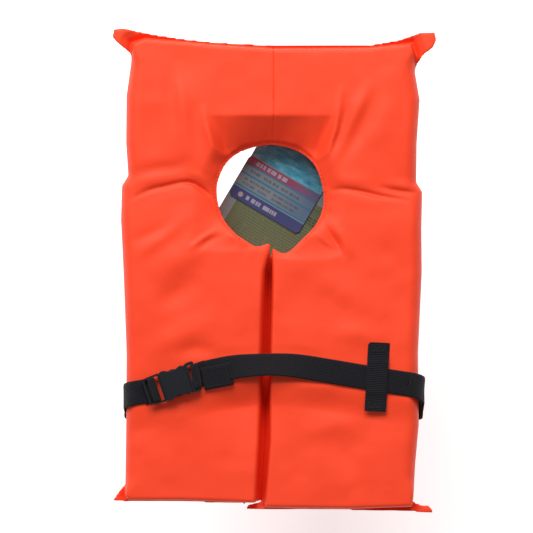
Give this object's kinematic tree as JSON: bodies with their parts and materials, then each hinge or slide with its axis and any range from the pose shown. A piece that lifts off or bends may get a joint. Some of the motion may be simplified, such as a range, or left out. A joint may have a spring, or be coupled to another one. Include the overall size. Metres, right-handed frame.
{
  "type": "life jacket",
  "caption": "Keyhole-style foam life jacket: padded collar round a neck hole, chest panels that fold at the shoulders, and a waist belt with a side-release buckle.",
  "frame": {"origin": "centre of the bounding box's underside; the jacket lies on its back", "axes": "+Z out of the front face, +Y towards the head end, +X to the viewer's right when looking at the front"},
  "size_m": [0.3794, 0.5652, 0.0733],
  "materials": {
    "shell_nylon": "satin",
    "foam": "matte",
    "webbing": "matte",
    "stitching": "matte",
    "buckle": "satin",
    "tag_card": "satin",
    "leaflet_paper": "matte",
    "clear_thread": "satin",
    "label_satin": "satin"
  },
  "bodies": {
    "collar": {"collar_cover_left": "shell_nylon", "collar_cover_right": "shell_nylon", "collar_foam_front": "foam", "collar_foam_back": "foam", "leaflet_fastener": "clear_thread"},
    "chest_right": {"chest_cover_right": "shell_nylon", "chest_right_foam_front": "foam", "chest_right_foam_back": "foam", "belt_right": "webbing", "stop_tab": "webbing", "belt_keeper": "webbing", "keeper_stitch_upper": "stitching", "keeper_stitch_lower": "stitching", "buckle_socket": "buckle"},
    "chest_left": {"chest_cover_left": "shell_nylon", "chest_left_foam_front": "foam", "chest_left_foam_back": "foam", "side_label": "label_satin"},
    "plug": {"buckle_plug": "buckle", "belt_left": "webbing"},
    "prong_upper": {"prong_upper": "buckle"},
    "prong_lower": {"prong_lower": "buckle"},
    "hang_tag": {"hang_tag": "tag_card", "tag_fastener": "clear_thread"},
    "leaflet": {"leaflet": "leaflet_paper"}
  },
  "joints": [
    {"name": "chest_right_fold", "type": "hinge", "parent": "collar", "child": "chest_right", "pos_m": [0, 0.092, 0.031], "axis": [1, 0, 0], "range_deg": [0, 70]},
    {"name": "chest_left_fold", "type": "hinge", "parent": "collar", "child": "chest_left", "pos_m": [0, 0.092, 0.031], "axis": [1, 0, 0], "range_deg": [0, 70]},
    {"name": "plug_release", "type": "slide", "parent": "chest_right", "child": "plug", "axis": [-0.9483, -0.3173, 0], "range_m": [0, 0.03]},
    {"name": "prong_upper_squeeze", "type": "hinge", "parent": "plug", "child": "prong_upper", "pos_m": [-0.13116, -0.12159, 0.0678], "axis": [0, 0, -1], "range_deg": [0, 8], "stiffness_Nm_per_rad": 0.1},
    {"name": "prong_lower_squeeze", "type": "hinge", "parent": "plug", "child": "prong_lower", "pos_m": [-0.12367, -0.14397, 0.0678], "axis": [0, 0, 1], "range_deg": [0, 8], "stiffness_Nm_per_rad": 0.1},
    {"name": "tag_swing", "type": "hinge", "parent": "collar", "child": "hang_tag", "pos_m": [0.0537, 0.1828, 0.0019], "axis": [0, 0, -1], "range_deg": [0, 20]},
    {"name": "leaflet_turn", "type": "hinge", "parent": "collar", "child": "leaflet", "pos_m": [-0.0255, 0.136, 0.00115], "axis": [1, 0, 0], "range_deg": [0, 70]}
  ],
  "couplings": [
    {"joint": "chest_left_fold", "follows": "chest_right_fold", "ratio": 1},
    {"joint": "leaflet_turn", "follows": "chest_right_fold", "ratio": 1},
    {"joint": "prong_lower_squeeze", "follows": "prong_upper_squeeze", "ratio": 1}
  ]
}
